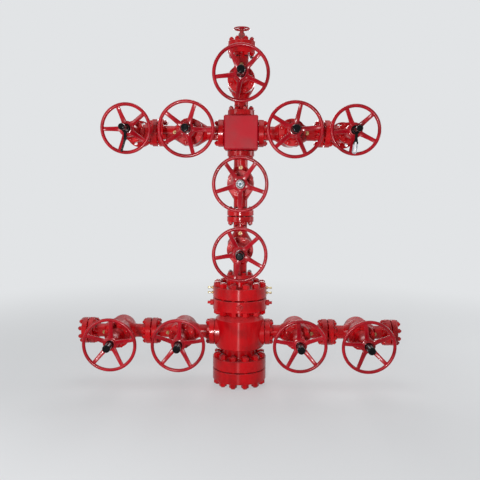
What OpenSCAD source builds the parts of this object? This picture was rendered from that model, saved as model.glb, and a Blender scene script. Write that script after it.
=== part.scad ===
// Oil wellhead valve stack: tubing head, master valves, cross, wings with chokes, swab and casing runs.
// The origin is the centre of the base flange's lower face. +Z is up, and every stem points to -Y.

/* [Run flanges, 2-9/16 inch bore] */
// Outer diameter of a run flange
run_flange_d = 232; // [220:1:250]
// Thickness of a run flange, with its raised face
run_flange_t = 51.2; // [45:0.2:60]
// Diameter of the raised face
run_face_d = 131.8; // [125:0.2:145]
// Height of the raised face
run_face_h = 3.6; // [2:0.2:5]
// Distance from a run flange's rim to its bolt circle
run_rim_gap = 23.9; // [22:0.1:25]
// Bolt holes in a run flange
run_holes = 8; // [4:4:8]
// Diameter of a bolt hole
run_hole_d = 26; // [23:0.5:28]
// Diameter of a stud bolt
run_stud_d = 22.2; // [20:0.2:22.6]
// Flow bore
run_bore_d = 65.1; // [50:0.1:80]
// Diameter of the neck behind a run flange
run_neck_d = 120; // [112:1:126]
// Bore of the end flanges, for the casing line's pipe
end_bore_d = 73; // [67:0.5:80]

/* [Head flanges, 7-1/16 inch bore] */
// Outer diameter of a head flange
head_flange_d = 479; // [470:1:500]
// Thickness of a head flange, with its raised face
head_flange_t = 103.2; // [95:0.2:115]
// Diameter of the raised face
head_face_d = 301.8; // [290:0.2:310]
// Height of the raised face
head_face_h = 4.8; // [3:0.2:6]
// Distance from a head flange's rim to its bolt circle
head_rim_gap = 37.9; // [36:0.1:40]
// Stud bolts in a head flange
head_studs = 12; // [8:4:12]
// Diameter of a stud bolt
head_stud_d = 38.1; // [34:0.1:40]
// Bore of the head
head_bore_d = 179.4; // [160:0.2:190]
// Bore of the base flange, for the casing pipe
base_bore_d = 177.8; // [160:0.2:179]

/* [Tubing spool] */
// Height of the spool, face to face
spool_h = 639; // [620:1:680]
// Diameter of the round body
spool_body_d = 428; // [410:1:440]
// Length of the neck below the round body
spool_neck_low = 92; // [60:1:110]
// Length of the neck above the round body
spool_neck_high = 44; // [44:1:80]
// Bevel between the round body and its upper neck
spool_bevel = 42; // [24:1:50]
// Distance from the nuts of the head studs to the necks above and below the body
spool_neck_gap = 15.8; // [10:0.2:22]
// How far a side outlet's face stands off the round body
outlet_boss = 6; // [3:1:20]
// Lock-down screws round the upper flange
lock_screws = 4; // [4:2:6]
// How far a lock-down screw stands out of the flange
lock_reach = 48; // [40:1:60]
// Diameter of a lock-down screw
lock_screw_d = 26; // [22:1:32]
// Width across the flats of its gland nut
lock_nut_af = 46; // [42:1:52]

/* [Adapter] */
// Height of the raised hub above the adapter's flange
adapter_hub_h = 54; // [45:1:70]
// Diameter of the raised hub
adapter_hub_d = 240; // [236:1:260]
// Distance between the two test fittings on one side
fitting_drop = 45; // [36:1:60]
// Diameter of a fitting's thread
fitting_d = 14; // [10:1:18]
// Width across the flats of a test fitting
test_fitting_af = 22; // [18:1:26]
// Width across the flats of a grease fitting
grease_fitting_af = 30; // [22:1:34]

/* [Gate valves] */
// Length of a gate valve, face to face
valve_len = 565; // [550:1:600]
// Diameter of the gate chamber
chamber_d = 226; // [216:1:240]
// Bevel round the back of the gate chamber
chamber_bevel = 24; // [10:1:40]
// Reach of the gate chamber behind the bore
chamber_back = 165; // [150:1:190]
// Reach of the gate chamber in front of the bore
chamber_front = 135; // [125:1:145]
// Diameter at which the shoulders start
shoulder_d = 222; // [200:1:226]
// Distance along the run at which the shoulders start
shoulder_from = 56; // [40:1:70]
// Distance along the run at which the shoulders reach the neck
shoulder_to = 139; // [125:1:150]
// Thickness of the bonnet's flange
bonnet_t = 48; // [42:1:54]
// Diameter of the bonnet's neck
bonnet_neck_d = 100; // [90:1:110]
// Diameter of the stem's bearing housing
housing_d = 116; // [110:1:130]
// Length of the stem's bearing housing
housing_len = 96; // [80:1:110]
// Diameter of the gland ring on the bonnet
gland_d = 132; // [120:1:140]

/* [Handwheels] */
// Diameter of a valve's handwheel
wheel_d = 450; // [420:1:480]
// Diameter of a choke's handwheel
choke_wheel_d = 400; // [360:1:420]
// Distance from the bore to a handwheel's rim
wheel_reach = 500; // [480:1:540]
// Thickness of the rim
rim_d = 28; // [24:1:32]
// Spokes in a handwheel
wheel_spokes = 5; // [3:1:6]
// Width of a spoke at the hub
spoke_root_w = 36; // [28:1:44]
// Width of a spoke at the rim
spoke_tip_w = 27; // [22:1:34]
// Thickness of a spoke
spoke_t = 15; // [10:1:20]
// How far the hub lies behind the rim's plane
wheel_dish = 40; // [20:1:60]
// Diameter of a handwheel's hub
hub_d = 88; // [80:1:100]
// Diameter of the plate from which the spokes spring
hub_plate_d = 122; // [104:1:140]
// Length of a handwheel's hub
hub_len = 52; // [44:1:60]
// Diameter of the spigot that a handwheel turns on
spigot_d = 50; // [40:1:56]
// Radial clearance of a hub on its spigot
spigot_fit = 0.05; // [0.03:0.01:0.09]
// Clearance at each end of a hub
hub_gap = 0.4; // [0.3:0.1:0.8]

/* [Stem caps] */
// Diameter of a stem's cap
cap_d = 64; // [56:1:72]
// Length of a valve stem's cap
cap_len = 144; // [110:1:170]
// Length of the swab valve's cap
swab_cap_len = 200; // [150:1:220]
// Length of the open cap on the upper master valve
open_cap_len = 62; // [50:1:100]
// Diameter of the stem's end inside the open cap
stem_end_d = 34; // [24:1:40]

/* [Cross] */
// Distance from the cross's centre to each face
cross_reach = 145; // [136:0.5:150]

/* [Chokes] */
// Distance from a choke's inlet face to its stem
choke_reach = 190; // [182:1:230]
// Distance from a choke's stem to its outlet face
choke_outlet_reach = 215; // [200:1:230]
// Diameter of a choke's round body
choke_body_d = 158; // [150:1:170]
// Diameter of a choke's inlet and outlet necks
choke_neck_d = 140; // [130:1:142]
// Distance from the run's axis to the seat of a choke's bonnet
choke_seat = 112; // [104:1:120]
// Diameter of a choke's bonnet flange
choke_bonnet_d = 176; // [166:1:190]
// Thickness of a choke's bonnet flange
choke_bonnet_t = 38; // [30:1:48]
// Diameter of the gland ring on a choke's bonnet
choke_gland_d = 108; // [102:1:116]
// Diameter of the rod that caps a choke's stem
choke_rod_d = 46; // [40:1:50]
// Length of that rod in front of the handwheel's hub
choke_rod_len = 204; // [170:1:230]
// Length of a locking lever's link
lever_link_len = 82; // [60:1:100]
// Length of a locking lever's handle
lever_handle_len = 106; // [80:1:120]
// Diameter of the cavity round a choke's seat
choke_cavity_d = 84; // [78:1:92]
// Reach of that cavity before and behind the run's axis
choke_cavity_reach = 90; // [60:1:100]

/* [Tree cap] */
// Height of the cap's boss above its flange
cap_boss_h = 24; // [16:1:36]
// Width across the flats of the needle valve's body
needle_af = 48; // [40:1:54]
// Height of the needle valve's body
needle_body_h = 44; // [36:1:60]
// Height of its gland above the body
needle_gland_h = 28; // [20:1:40]
// Diameter of its stem
needle_stem_d = 14; // [10:1:18]
// Diameter of the needle valve's handwheel
needle_wheel_d = 140; // [110:1:150]
// Thickness of that handwheel's rim
needle_rim_d = 13; // [9:1:16]

/* [Hidden] */
$fn = 64;
edge = 4;            // bevel on flange rims
tiny = 0.01;
seat_fit = 0.3;      // clearance of a piece slipped over another

// hexagon nuts of the head flanges
head_nut_af = 60.3;
head_nut_h = 38;
head_stud_tip = 8;
head_hole_d = head_stud_d + 4;

// hexagon nuts of the run flanges
run_nut_af = 36.5;
run_nut_h = 22;
run_stud_tip = 8;

// bolt circles
run_pcd = run_flange_d - 2 * run_rim_gap;
head_pcd = head_flange_d - 2 * head_rim_gap;

half_valve = valve_len / 2;
run_r = run_flange_d / 2;
head_r = head_flange_d / 2;
neck_r = run_neck_d / 2;
spool_neck_d = head_pcd - head_nut_af / cos(30) - 2 * spool_neck_gap;

// heights in the spool, measured from its foot
spool_body_low = head_flange_t + spool_neck_low;
spool_shoulder = spool_h - head_flange_t - spool_neck_high;
spool_body_high = spool_shoulder - spool_bevel;
outlet_reach = spool_body_d / 2 + outlet_boss;

// heights of the pieces in the stack
spool_z = head_flange_t;
adapter_z = spool_z + spool_h;
lower_master_z = adapter_z + head_flange_t + adapter_hub_h + half_valve;
upper_master_z = lower_master_z + valve_len;
cross_z = upper_master_z + half_valve + cross_reach;
swab_z = cross_z + cross_reach + half_valve;
cap_z = swab_z + half_valve;

// places along the runs
run_z = spool_z + (spool_body_low + spool_body_high) / 2;
inner_x = outlet_reach + half_valve;
outer_x = inner_x + valve_len;
end_x = outer_x + half_valve;
wing_x = cross_reach + half_valve;
choke_x = cross_reach + valve_len + choke_reach;

// distances along a stem, from the run's axis
hub_z = wheel_reach - wheel_dish;
hub_back = hub_z - hub_len / 2;
hub_front = hub_z + hub_len / 2;
housing_front = hub_back - hub_gap;
cap_back = hub_front + hub_gap;
hub_lip = 3;
spoke_steps = 8;

// the cone that bevels a nut's corners, in widths across its flats
nut_bevel_low = 1.7;
nut_bevel_top = 1.02;

// lock-down screws
lock_seat_d = lock_nut_af + 12;
lock_depth = 60;
lock_gland = lock_reach / 2;

// fittings
fitting_thread = fitting_d;
fitting_hex_h = 14;
fitting_body_d = fitting_d + 1;
fitting_body_h = 30;
fitting_tip_d = fitting_d - 2;
fitting_tip_h = 12;
test_fitting_drop = 20;
grease_seat = 6;
grease_seat_d = grease_fitting_af + 12;
fitting_run = shoulder_to - 4;

// bevel on the cross's edges and corners
cross_bevel = 11;

// blind end of a gate valve's bore
gate_wall = 30;

// bonnet
rim_bevel = 3;
gland_h = 18;
gland_slope = 28;
housing_lip = 6;
housing_groove = 4;
housing_band = 22;

// caps
cap_foot_d = cap_d + 8;
cap_foot_h = 12;
cap_round = 12;
open_cap_wall = 6;
open_cap_floor = 12;
stem_end_drop = 16;
rod_knob_d = choke_rod_d + 5;
rod_knob_len = 42;

// locking levers, hung from a ring on the choke's rod
lever_s = wheel_reach + 16;
lever_ring_d = choke_rod_d + 14;
lever_ring_len = 30;
lever_t = 14;
lever_link_w = 21;
lever_pin_d = 26;
lever_bar_d = 17;
lever_loop_w = 38;
lever_loop_wall = 11;

// tree cap and needle valve
cap_boss_d = run_neck_d - 8;
needle_thread_d = 22;
needle_thread_len = 16;
needle_gland_d = 32;
needle_gland_foot_d = 38;
needle_hub_d = 30;
needle_hub_h = 16;
needle_spoke_d = 9;
needle_tip = 4;
needle_z = cap_z + run_flange_t + cap_boss_h;

// name, place, run along Z or X, side of the grease fitting, angle of the first spoke
VALVES = [
    ["lower_master", [0, 0, lower_master_z], "z", 1, 260],
    ["upper_master", [0, 0, upper_master_z], "z", 1, 270],
    ["swab", [0, 0, swab_z], "z", 1, 261],
    ["left_wing", [-wing_x, 0, cross_z], "x", -1, 70],
    ["right_wing", [wing_x, 0, cross_z], "x", 1, 78],
    ["left_inner_casing", [-inner_x, 0, run_z], "x", -1, 85],
    ["left_outer_casing", [-outer_x, 0, run_z], "x", -1, 85],
    ["right_inner_casing", [inner_x, 0, run_z], "x", 1, 95],
    ["right_outer_casing", [outer_x, 0, run_z], "x", 1, 100],
];
// name, place, side, angle of the first spoke, form of the lever's handle, its lean to the left
CHOKES = [
    ["left_choke", [-choke_x, 0, cross_z], -1, 110, "bar", 18],
    ["right_choke", [choke_x, 0, cross_z], 1, 115, "loop", 8],
];

paint = [0.72, 0.03, 0.05];
brass = [0.78, 0.62, 0.3];
black = [0.06, 0.06, 0.06];
steel = [0.7, 0.72, 0.74];

// Turns a shape made along +Z so that it runs along +X or -X
module along_x(side = 1) {
    rotate([0, side * 90, 0]) children();
}

// Turns a shape made along +Z so that it runs to the front, -Y
module to_front() {
    rotate([90, 0, 0]) children();
}

module to_back() {
    rotate([-90, 0, 0]) children();
}

// Equal copies round +Z, the first at the angle given
module round_about(count, first) {
    for (i = [0 : count - 1]) rotate([0, 0, first + i * 360 / count]) children();
}

// A drill from below z = low to above z = high
module drill(d, low, high) {
    translate([0, 0, low - tiny]) cylinder(d = d, h = high - low + 2 * tiny);
}

// A flange whose raised face is at z = 0 and whose back is at z = thick
module flange(d, thick, face_d, face_h) {
    rotate_extrude() polygon([
        [0, 0],
        [face_d / 2, 0],
        [face_d / 2, face_h],
        [d / 2 - edge, face_h],
        [d / 2, face_h + edge],
        [d / 2, thick - edge],
        [d / 2 - edge, thick],
        [0, thick],
    ]);
}

module run_flange() {
    flange(run_flange_d, run_flange_t, run_face_d, run_face_h);
}

module head_flange() {
    flange(head_flange_d, head_flange_t, head_face_d, head_face_h);
}

module head_holes(z) {
    round_about(head_studs, 180 / head_studs)
        translate([head_pcd / 2, 0, 0]) drill(head_hole_d, z, z + head_flange_t);
}

module run_holes() {
    round_about(run_holes, 180 / run_holes)
        translate([run_pcd / 2, 0, 0]) drill(run_hole_d, 0, run_flange_t);
}

// A hexagon nut standing on z = 0, its top edge bevelled
module nut(af, h) {
    intersection() {
        cylinder(d = af / cos(30), h = h, $fn = 6);
        cylinder(d1 = af * nut_bevel_low, d2 = af * nut_bevel_top, h = h);
    }
}

// A stud bolt through two flanges of the thickness given, with a nut at each end
module stud_bolt(d, thick, af, nut_h, tip) {
    reach = thick + nut_h + tip;
    translate([0, 0, -reach]) cylinder(d = d, h = 2 * reach);
    translate([0, 0, thick]) nut(af, nut_h);
    translate([0, 0, -thick]) mirror([0, 0, 1]) nut(af, nut_h);
}

// The studs of a pair of head flanges whose joint is at z
module head_stud_ring(z) {
    round_about(head_studs, 180 / head_studs) translate([head_pcd / 2, 0, z])
        stud_bolt(head_stud_d, head_flange_t, head_nut_af, head_nut_h, head_stud_tip);
}

module base_flange() {
    color(paint) difference() {
        translate([0, 0, head_flange_t]) mirror([0, 0, 1]) head_flange();
        drill(base_bore_d, 0, head_flange_t);
        head_holes(0);
    }
}

module base_studs() {
    color(paint) head_stud_ring(spool_z);
}

module adapter_studs() {
    color(paint) head_stud_ring(adapter_z);
}

// What the spool is without its outlets and bores
module spool_blank() {
    body_r = spool_body_d / 2;
    spool_neck_r = spool_neck_d / 2;
    head_flange();
    translate([0, 0, spool_h]) mirror([0, 0, 1]) head_flange();
    rotate_extrude() polygon([
        [0, head_flange_t - tiny],
        [spool_neck_r + 2 * edge, head_flange_t - tiny],
        [spool_neck_r, head_flange_t + 2 * edge],
        [spool_neck_r, spool_body_low - edge],
        [spool_neck_r + edge, spool_body_low],
        [body_r - edge, spool_body_low],
        [body_r, spool_body_low + edge],
        [body_r, spool_body_high],
        [body_r - spool_bevel, spool_shoulder],
        [spool_neck_r, spool_shoulder],
        [spool_neck_r, spool_h - head_flange_t + tiny],
        [0, spool_h - head_flange_t + tiny],
    ]);
}

module tubing_spool() {
    color(paint) translate([0, 0, spool_z]) difference() {
        union() {
            spool_blank();
            for (side = [-1, 1])
                translate([0, 0, run_z - spool_z]) along_x(side) cylinder(r = run_r + edge, h = outlet_reach);
        }
        drill(head_bore_d, 0, spool_h);
        for (side = [-1, 1])
            translate([0, 0, run_z - spool_z]) along_x(side) drill(run_bore_d, 0, outlet_reach);
        head_holes(0);
        head_holes(spool_h - head_flange_t);
        round_about(lock_screws, 0) translate([0, 0, spool_h - head_flange_t / 2]) along_x() {
            drill(lock_seat_d, head_r - edge, head_r + edge);
            drill(lock_screw_d + 2 * tiny, head_r - lock_depth, head_r);
        }
    }
}

module lockdown_screws() {
    color(paint) round_about(lock_screws, 0) translate([0, 0, adapter_z - head_flange_t / 2]) along_x() {
        translate([0, 0, head_r - lock_depth]) cylinder(d = lock_screw_d, h = lock_depth + lock_reach);
        translate([0, 0, head_r - edge]) nut(lock_nut_af, lock_gland + edge);
    }
}

module adapter() {
    hub_r = adapter_hub_d / 2;
    top = head_flange_t + adapter_hub_h;
    color(paint) translate([0, 0, adapter_z]) difference() {
        union() {
            head_flange();
            rotate_extrude() polygon([
                [0, head_flange_t - tiny],
                [hub_r + 2 * edge, head_flange_t - tiny],
                [hub_r, head_flange_t + 2 * edge],
                [hub_r, top - edge],
                [hub_r - edge, top],
                [0, top],
            ]);
        }
        drill(run_bore_d, 0, top);
        head_holes(0);
        test_fitting_places() drill(fitting_d, -fitting_thread, edge);
    }
}

// Two places above each other on each side of the adapter's rim, measured from the adapter's foot
module test_fitting_places() {
    for (side = [-1, 1])
        for (row = [0, 1])
            translate([0, 0, head_flange_t - test_fitting_drop - row * fitting_drop]) along_x(side)
                translate([0, 0, head_r]) children();
}

// A fitting screwed in at z = 0 and standing along +Z
module fitting(af) {
    translate([0, 0, -fitting_thread]) cylinder(d = fitting_d - 2 * tiny, h = fitting_thread + edge);
    translate([0, 0, seat_fit]) nut(af, fitting_hex_h);
    translate([0, 0, edge]) cylinder(d = fitting_body_d, h = fitting_body_h - edge);
    translate([0, 0, fitting_body_h]) cylinder(d1 = fitting_tip_d, d2 = fitting_tip_d / 2, h = fitting_tip_h);
}

module test_fittings() {
    color(brass) translate([0, 0, adapter_z]) test_fitting_places() fitting(test_fitting_af);
}

// The seat of a valve's grease fitting, on the front of its body where the shoulder meets the neck
module grease_place(v) {
    along = v[2] == "z" ? [0, 0, v[3] * fitting_run] : [v[3] * fitting_run, 0, 0];
    translate(v[1] + along) to_front() translate([0, 0, neck_r + grease_seat]) children();
}

module grease_fittings() {
    color(brass) for (v = VALVES) grease_place(v) fitting(grease_fitting_af);
}

// A gate valve's body without its bore, its run along Z and its stem side to -Y
module gate_body() {
    back = half_valve - run_flange_t;
    for (end = [0, 1]) mirror([0, 0, end]) {
        translate([0, 0, half_valve]) mirror([0, 0, 1]) run_flange();
        rotate_extrude() polygon([
            [0, 0],
            [shoulder_d / 2, 0],
            [shoulder_d / 2, shoulder_from],
            [neck_r, shoulder_to],
            [neck_r, back + tiny],
            [0, back + tiny],
        ]);
    }
    to_front() rotate_extrude() polygon([
        [0, -chamber_back],
        [chamber_d / 2 - chamber_bevel, -chamber_back],
        [chamber_d / 2, -chamber_back + chamber_bevel],
        [chamber_d / 2, chamber_front],
        [0, chamber_front],
    ]);
}

module place_body(v) {
    color(paint) difference() {
        union() {
            translate(v[1]) rotate([0, v[2] == "z" ? 0 : 90, 0]) difference() {
                gate_body();
                for (end = [0, 1]) mirror([0, 0, end]) drill(run_bore_d, gate_wall, half_valve);
            }
            grease_place(v) translate([0, 0, -fitting_body_h]) cylinder(d = grease_seat_d, h = fitting_body_h);
        }
        grease_place(v) {
            drill(fitting_d, -fitting_thread, 0);
            cylinder(d = grease_seat_d, h = fitting_body_h);
        }
        if (abs(v[1][0]) == outer_x) end_places() mirror([0, 0, 1]) run_holes();
    }
}

// What a bonnet is from its foot to the end of the spigot, turned about the stem
module bonnet_shape(foot, flange_r, flange_t, gland_r) {
    shaft_r = bonnet_neck_d / 2;
    house_r = housing_d / 2;
    house_foot = housing_front - housing_len;
    face = foot + flange_t;
    rotate_extrude() polygon([
        [0, foot],
        [flange_r - rim_bevel, foot],
        [flange_r, foot + rim_bevel],
        [flange_r, face - rim_bevel],
        [flange_r - rim_bevel, face],
        [gland_r, face],
        [gland_r, face + gland_h],
        [shaft_r, face + gland_h + gland_slope],
        [shaft_r, house_foot],
        [house_r, house_foot + 2 * housing_lip],
        [house_r, housing_front - housing_band - 2 * housing_groove],
        [house_r - housing_groove, housing_front - housing_band - housing_groove],
        [house_r - housing_groove, housing_front - housing_band],
        [house_r, housing_front - housing_band + housing_groove],
        [house_r, housing_front - housing_lip],
        [house_r - housing_lip, housing_front],
        [spigot_d / 2, housing_front],
        [spigot_d / 2, cap_back],
        [0, cap_back],
    ]);
}

module place_bonnet(v) {
    color(paint) translate(v[1]) to_front() bonnet_shape(chamber_front, chamber_d / 2, bonnet_t, gland_d / 2);
}

// Middle of a spoke seen from the side: out from the plate, then up in an S to the rim's plane
function spoke_line(root, tip, lift) = [
    for (i = [0 : spoke_steps])
        [root + (tip - root) * i / spoke_steps, hub_z + wheel_dish * (1 - cos(180 * i / spoke_steps)) / 2 + lift]
];

// One flat spoke along +X, cut from its plan and its side view
module spoke(rim_r) {
    root = (spigot_d + hub_d) / 4;
    low = spoke_line(root, rim_r, -spoke_t / 2);
    high = spoke_line(root, rim_r, spoke_t / 2);
    intersection() {
        translate([0, 0, hub_back]) linear_extrude(wheel_reach + rim_d - hub_back) polygon([
            [root, -spoke_root_w / 2],
            [rim_r, -spoke_tip_w / 2],
            [rim_r, spoke_tip_w / 2],
            [root, spoke_root_w / 2],
        ]);
        rotate([90, 0, 0]) linear_extrude(2 * spoke_root_w, center = true)
            polygon(concat(low, [for (i = [spoke_steps : -1 : 0]) high[i]]));
    }
}

// The hub with the plate from which the spokes spring
module wheel_hub() {
    hub_r = hub_d / 2;
    plate_r = hub_plate_d / 2;
    plate_t = spoke_t - 1;
    rotate_extrude() polygon([
        [0, hub_back],
        [hub_r - hub_lip, hub_back],
        [hub_r, hub_back + hub_lip],
        [hub_r, hub_z - plate_t],
        [plate_r, hub_z - plate_t / 2],
        [plate_r, hub_z + plate_t / 2],
        [hub_r, hub_z + plate_t],
        [hub_r, hub_front - hub_lip],
        [hub_r - hub_lip, hub_front],
        [0, hub_front],
    ]);
}

// A dished handwheel turned about +Z, its rim's middle at z = wheel_reach
module wheel(d, first) {
    rim_r = (d - rim_d) / 2;
    difference() {
        union() {
            translate([0, 0, wheel_reach]) rotate_extrude() translate([rim_r, 0]) circle(d = rim_d, $fn = 24);
            wheel_hub();
            round_about(wheel_spokes, first) spoke(rim_r);
        }
        drill(spigot_d + 2 * spigot_fit, hub_back, hub_front);
    }
}

module place_wheel(place, d, first) {
    color(paint) translate(place) to_front() wheel(d, first);
}

// A closed cap with a foot ring and a rounded end
module stem_cap(length) {
    end = cap_back + length;
    rotate_extrude() polygon(concat(
        [
            [0, cap_back],
            [cap_foot_d / 2, cap_back],
            [cap_foot_d / 2, cap_back + cap_foot_h],
            [cap_d / 2, cap_back + cap_foot_h],
        ],
        [for (a = [0 : 15 : 90]) [cap_d / 2 - cap_round * (1 - cos(a)), end - cap_round * (1 - sin(a))]],
        [[0, end]]
    ));
}

// The long rod over a choke's stem, with a knob at its end
module choke_rod() {
    end = cap_back + choke_rod_len;
    knob = end - rod_knob_len;
    rotate_extrude() polygon(concat(
        [
            [0, cap_back],
            [cap_foot_d / 2, cap_back],
            [cap_foot_d / 2, cap_back + cap_foot_h],
            [choke_rod_d / 2, cap_back + cap_foot_h],
            [choke_rod_d / 2, knob],
            [rod_knob_d / 2, knob + edge],
        ],
        [for (a = [0 : 15 : 90]) [rod_knob_d / 2 - cap_round * (1 - cos(a)), end - cap_round * (1 - sin(a))]],
        [[0, end]]
    ));
}

module stem_caps() {
    color(black) {
        for (v = VALVES) if (v[0] != "upper_master")
            translate(v[1]) to_front() stem_cap(v[0] == "swab" ? swab_cap_len : cap_len);
        for (c = CHOKES) translate(c[1]) to_front() choke_rod();
    }
}

// The upper master valve's cap is open, and shows the end of the stem
module clear_cap() {
    end = cap_back + open_cap_len;
    floor = cap_back + open_cap_floor;
    color(steel) translate([0, 0, upper_master_z]) to_front() rotate_extrude() polygon([
        [0, cap_back],
        [cap_foot_d / 2, cap_back],
        [cap_foot_d / 2, cap_back + cap_foot_h],
        [cap_d / 2, cap_back + cap_foot_h],
        [cap_d / 2, end],
        [cap_d / 2 - open_cap_wall, end],
        [cap_d / 2 - open_cap_wall, floor],
        [stem_end_d / 2, floor],
        [stem_end_d / 2, end - stem_end_drop],
        [0, end - stem_end_drop],
    ]);
}

// A studded cross, its four run faces flat, its edges and corners bevelled
module cross_block() {
    size = 2 * cross_reach;
    across = sqrt(2) * (size - cross_bevel);
    color(paint) translate([0, 0, cross_z]) difference() {
        intersection() {
            cube(size, center = true);
            rotate([0, 0, 45]) cube([across, across, size], center = true);
            rotate([45, 0, 0]) cube([size, across, across], center = true);
            rotate([0, 45, 0]) cube([across, size, across], center = true);
        }
        drill(run_bore_d, -cross_reach, cross_reach);
        along_x() drill(run_bore_d, -cross_reach, cross_reach);
    }
}

module tree_cap() {
    boss_r = cap_boss_d / 2;
    top = run_flange_t + cap_boss_h;
    color(paint) translate([0, 0, cap_z]) difference() {
        union() {
            run_flange();
            rotate_extrude() polygon([
                [0, run_flange_t - tiny],
                [boss_r, run_flange_t - tiny],
                [boss_r, top - edge],
                [boss_r - edge, top],
                [0, top],
            ]);
        }
        drill(needle_thread_d, top - needle_thread_len, top);
    }
}

// The needle valve screwed into the tree cap
module needle_valve() {
    color(paint) translate([0, 0, needle_z]) {
        translate([0, 0, -needle_thread_len]) cylinder(d = needle_thread_d - 2 * tiny, h = needle_thread_len + edge);
        nut(needle_af, needle_body_h);
        translate([0, 0, needle_body_h - tiny])
            cylinder(d1 = needle_gland_foot_d, d2 = needle_gland_d, h = needle_gland_h);
        translate([0, 0, needle_body_h])
            cylinder(d = needle_stem_d, h = needle_gland_h + hub_gap + needle_hub_h + needle_tip);
    }
}

// The needle valve's own little handwheel, lying flat
module needle_wheel() {
    foot = needle_z + needle_body_h + needle_gland_h + hub_gap;
    rim_r = (needle_wheel_d - needle_rim_d) / 2;
    middle = needle_hub_h / 2;
    root = (needle_stem_d + needle_hub_d) / 4;
    color(paint) translate([0, 0, foot]) difference() {
        union() {
            translate([0, 0, middle]) rotate_extrude() translate([rim_r, 0]) circle(d = needle_rim_d, $fn = 16);
            cylinder(d = needle_hub_d, h = needle_hub_h);
            round_about(wheel_spokes, 90) translate([root, 0, middle]) along_x()
                cylinder(d = needle_spoke_d, h = rim_r - root, $fn = 16);
        }
        drill(needle_stem_d + 2 * spigot_fit, 0, needle_hub_h);
    }
}

module end_places() {
    for (side = [-1, 1]) translate([side * end_x, 0, run_z]) along_x(side) children();
}

module end_flanges() {
    color(paint) end_places() difference() {
        run_flange();
        drill(end_bore_d, 0, run_flange_t);
        run_holes();
    }
}

module end_studs() {
    color(paint) end_places() round_about(run_holes, 180 / run_holes) translate([run_pcd / 2, 0, 0])
        stud_bolt(run_stud_d, run_flange_t, run_nut_af, run_nut_h, run_stud_tip);
}

// An angle choke's body: inlet flange from the wing, outlet flange to the back, open to the bonnet's seat
module choke_body(c) {
    side = c[2];
    choke_neck_r = choke_neck_d / 2;
    body_r = choke_body_d / 2;
    color(paint) translate(c[1]) difference() {
        union() {
            translate([-side * choke_reach, 0, 0]) along_x(side) {
                run_flange();
                cylinder(r = choke_neck_r, h = choke_reach);
            }
            translate([0, choke_outlet_reach, 0]) to_front() {
                run_flange();
                cylinder(r = choke_neck_r, h = choke_outlet_reach);
            }
            to_front() rotate_extrude() polygon([
                [0, -body_r],
                [choke_neck_r, -body_r],
                [body_r, -choke_neck_r],
                [body_r, choke_seat],
                [0, choke_seat],
            ]);
        }
        to_back() drill(run_bore_d, 0, choke_outlet_reach);
        to_front() drill(choke_cavity_d, -choke_cavity_reach, choke_cavity_reach);
        translate([-side * choke_reach, 0, 0]) along_x(side) drill(run_bore_d, 0, choke_reach);
        translate([0, choke_outlet_reach, 0]) to_front() run_holes();
    }
}

module choke_bonnet(c) {
    color(paint) translate(c[1]) to_front()
        bonnet_shape(choke_seat, choke_bonnet_d / 2, choke_bonnet_t, choke_gland_d / 2);
}

// A plain bar that hangs from the origin to the front of a wheel
module bar_handle() {
    mirror([0, 0, 1]) cylinder(d = lever_bar_d, h = lever_handle_len, $fn = 32);
}

// A flat loop with round ends that hangs from the origin
module loop_handle() {
    to_front() linear_extrude(lever_loop_wall, center = true) difference() {
        loop_outline(lever_loop_w / 2);
        loop_outline(lever_loop_w / 2 - lever_loop_wall);
    }
}

module loop_outline(r) {
    high = -lever_loop_w / 2;
    low = lever_loop_w / 2 - lever_handle_len;
    translate([0, high]) circle(r);
    translate([0, low]) circle(r);
    translate([-r, low]) square([2 * r, high - low]);
}

// The lever that locks a choke's stem, hanging in front of the handwheel
module choke_lever(c) {
    translate(c[1] - [0, lever_s + lever_ring_len / 2, 0]) {
        to_front() difference() {
            union() {
                translate([0, 0, -lever_ring_len / 2]) cylinder(d = lever_ring_d, h = lever_ring_len);
                translate([-lever_link_w / 2, -lever_link_len, -lever_t / 2])
                    cube([lever_link_w, lever_link_len, lever_t]);
                translate([0, -lever_link_len, -lever_t / 2 - 1]) cylinder(d = lever_pin_d, h = lever_t + 2);
            }
            drill(choke_rod_d + 2 * seat_fit, -lever_ring_len / 2, lever_ring_len / 2);
        }
        translate([0, 0, -lever_link_len]) rotate([0, c[5], 0])
            if (c[4] == "bar") bar_handle();
            else loop_handle();
    }
}

module choke_levers() {
    color(steel) for (c = CHOKES) choke_lever(c);
}

base_flange();
base_studs();
tubing_spool();
lockdown_screws();
adapter();
adapter_studs();
test_fittings();
cross_block();
tree_cap();
needle_valve();
needle_wheel();
end_flanges();
end_studs();
stem_caps();
clear_cap();
grease_fittings();
choke_levers();
for (v = VALVES) {
    place_body(v);
    place_bonnet(v);
    place_wheel(v[1], wheel_d, v[4]);
}
for (c = CHOKES) {
    choke_body(c);
    choke_bonnet(c);
    place_wheel(c[1], choke_wheel_d, c[3]);
}
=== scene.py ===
import bpy
import bmesh
from math import cos, pi, radians, sin
from mathutils import Matrix, Vector


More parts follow.
